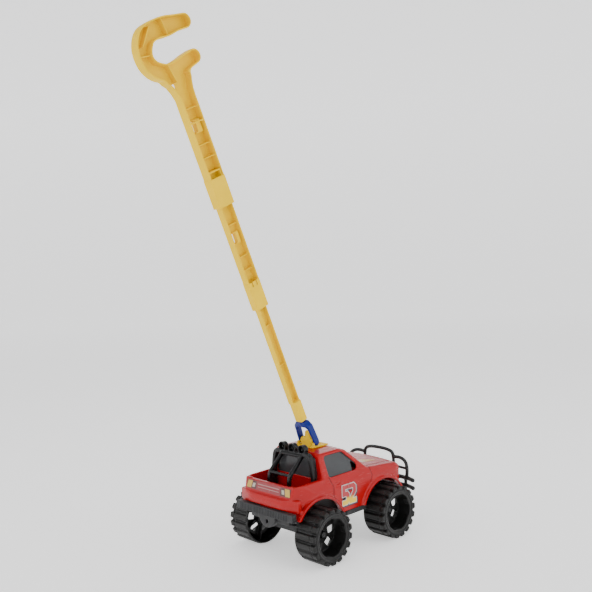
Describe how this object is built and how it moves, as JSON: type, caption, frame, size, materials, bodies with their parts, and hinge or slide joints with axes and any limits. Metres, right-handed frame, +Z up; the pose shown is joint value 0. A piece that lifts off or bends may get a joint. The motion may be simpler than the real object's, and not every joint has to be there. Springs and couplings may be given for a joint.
{
  "type": "push-along toy pickup truck",
  "caption": "Toy off-road pickup with chunky free-rolling wheels, roll bar and bull bar, pushed by a long three-section pole hinged on the roof and ending in a C-shaped hand grip.",
  "frame": {"origin": "on the ground under the middle of the whole toy's bounding box, with the pole leaning back at rest", "axes": "+X towards the truck's nose, +Y to the truck's left, +Z up"},
  "size_m": [0.3922, 0.1592, 0.6696],
  "materials": {
    "body_red": "glossy red ABS moulding",
    "trim_grey": "satin dark grey plastic",
    "trim_black": "satin near-black plastic",
    "tyre_plastic": "satin black plastic, slightly brown",
    "glazing_grey": "smoke-grey opaque plastic",
    "pole_yellow": "glossy yellow plastic",
    "clevis_blue": "glossy blue plastic",
    "steel": "plated steel rod and screws",
    "label_print": "printed self-adhesive film"
  },
  "bodies": {
    "truck": {"body_shell": "body_red", "cab_glazing": "glazing_grey", "chassis": "trim_grey", "rear_bumper": "trim_grey", "bull_bar": "trim_grey", "roll_bar": "trim_black", "front_axle": "steel", "screw_front_left": "steel", "axle_cap_front_left": "trim_black", "screw_front_right": "steel", "axle_cap_front_right": "trim_black", "rear_axle": "steel", "screw_rear_left": "steel", "axle_cap_rear_left": "trim_black", "screw_rear_right": "steel", "axle_cap_rear_right": "trim_black", "roof_bracket": "pole_yellow", "tail_label": "label_print", "door_number_left": "label_print", "door_number_right": "label_print", "bonnet_label": "label_print"},
    "pole": {"clevis": "clevis_blue", "pole_lower": "pole_yellow", "pole_middle": "pole_yellow", "pole_handle": "pole_yellow"},
    "turning_front_left": {"wheel_front_left": "tyre_plastic"},
    "turning_front_right": {"wheel_front_right": "tyre_plastic"},
    "turning_rear_left": {"wheel_rear_left": "tyre_plastic"},
    "turning_rear_right": {"wheel_rear_right": "tyre_plastic"}
  },
  "joints": [
    {"name": "pole_pitch", "type": "hinge", "parent": "truck", "child": "pole", "pos_m": [0.04957, 0, 0.13813], "axis": [0, 1, 0], "range_deg": [0, 110]},
    {"name": "wheel_front_left_spin", "type": "hinge", "parent": "truck", "child": "turning_front_left", "pos_m": [0.13727, 0.062, 0.03513], "axis": [0, 1, 0], "continuous": true},
    {"name": "wheel_front_right_spin", "type": "hinge", "parent": "truck", "child": "turning_front_right", "pos_m": [0.13727, -0.062, 0.03513], "axis": [0, 1, 0], "continuous": true},
    {"name": "wheel_rear_left_spin", "type": "hinge", "parent": "truck", "child": "turning_rear_left", "pos_m": [0.00787, 0.062, 0.03513], "axis": [0, 1, 0], "continuous": true},
    {"name": "wheel_rear_right_spin", "type": "hinge", "parent": "truck", "child": "turning_rear_right", "pos_m": [0.00787, -0.062, 0.03513], "axis": [0, 1, 0], "continuous": true}
  ]
}
